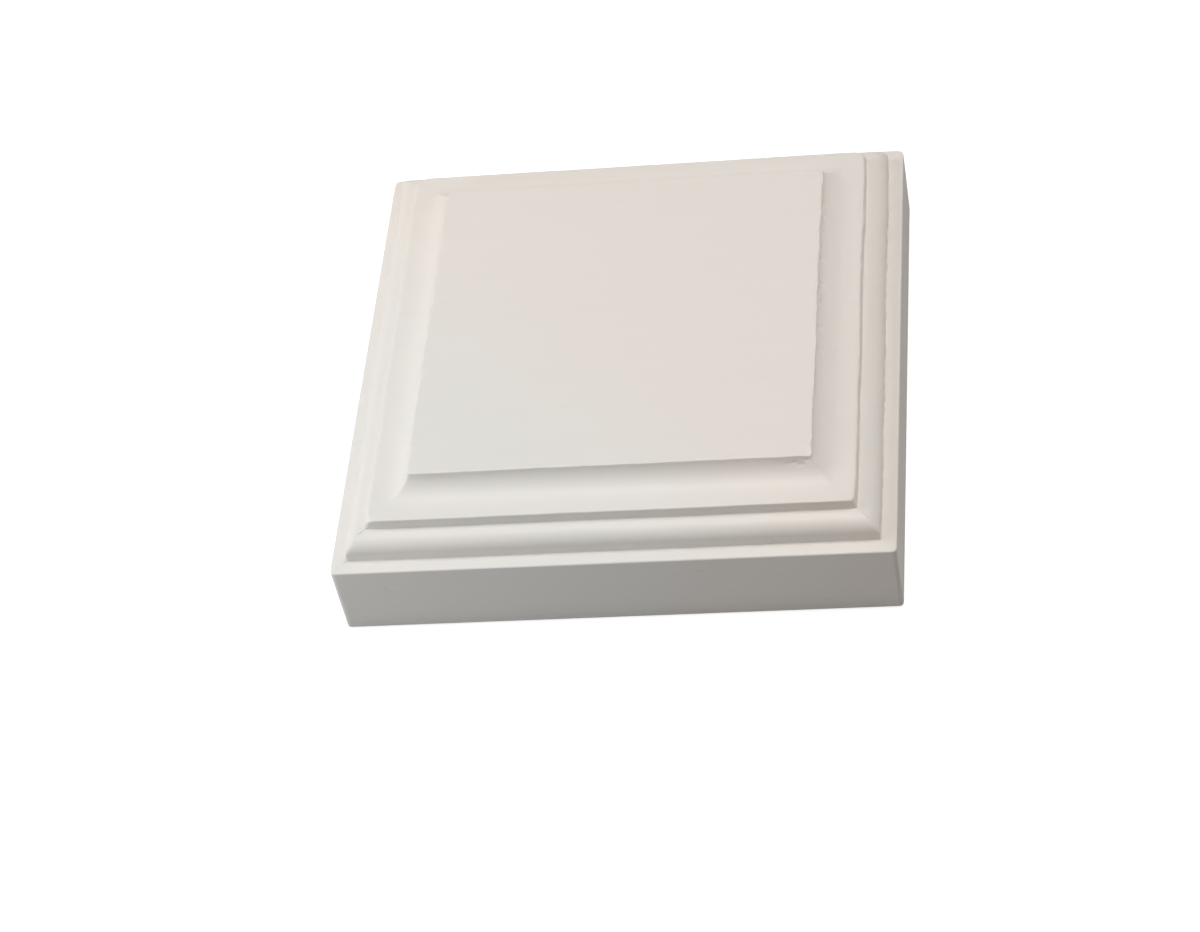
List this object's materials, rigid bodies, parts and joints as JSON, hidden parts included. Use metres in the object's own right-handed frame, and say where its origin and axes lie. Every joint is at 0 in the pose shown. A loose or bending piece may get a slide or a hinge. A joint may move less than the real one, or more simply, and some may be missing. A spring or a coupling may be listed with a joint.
{
  "type": "corner block",
  "caption": "Square corner block for door and window trim, with a routed rim, quarter-round, ledge, step, band and cove around a raised flat panel, primed off-white.",
  "frame": {"origin": "middle of the flat back, which is also the bottom when the block lies face up", "axes": "+Z out of the moulded face, +X along the grain and the two crisp edges, +Y across the grain"},
  "size_m": [0.1016, 0.1016, 0.0254],
  "materials": {
    "primed_wood": "satin off-white primer over sanded wood"
  },
  "bodies": {
    "root": {"corner_block": "primed_wood"}
  },
  "joints": []
}
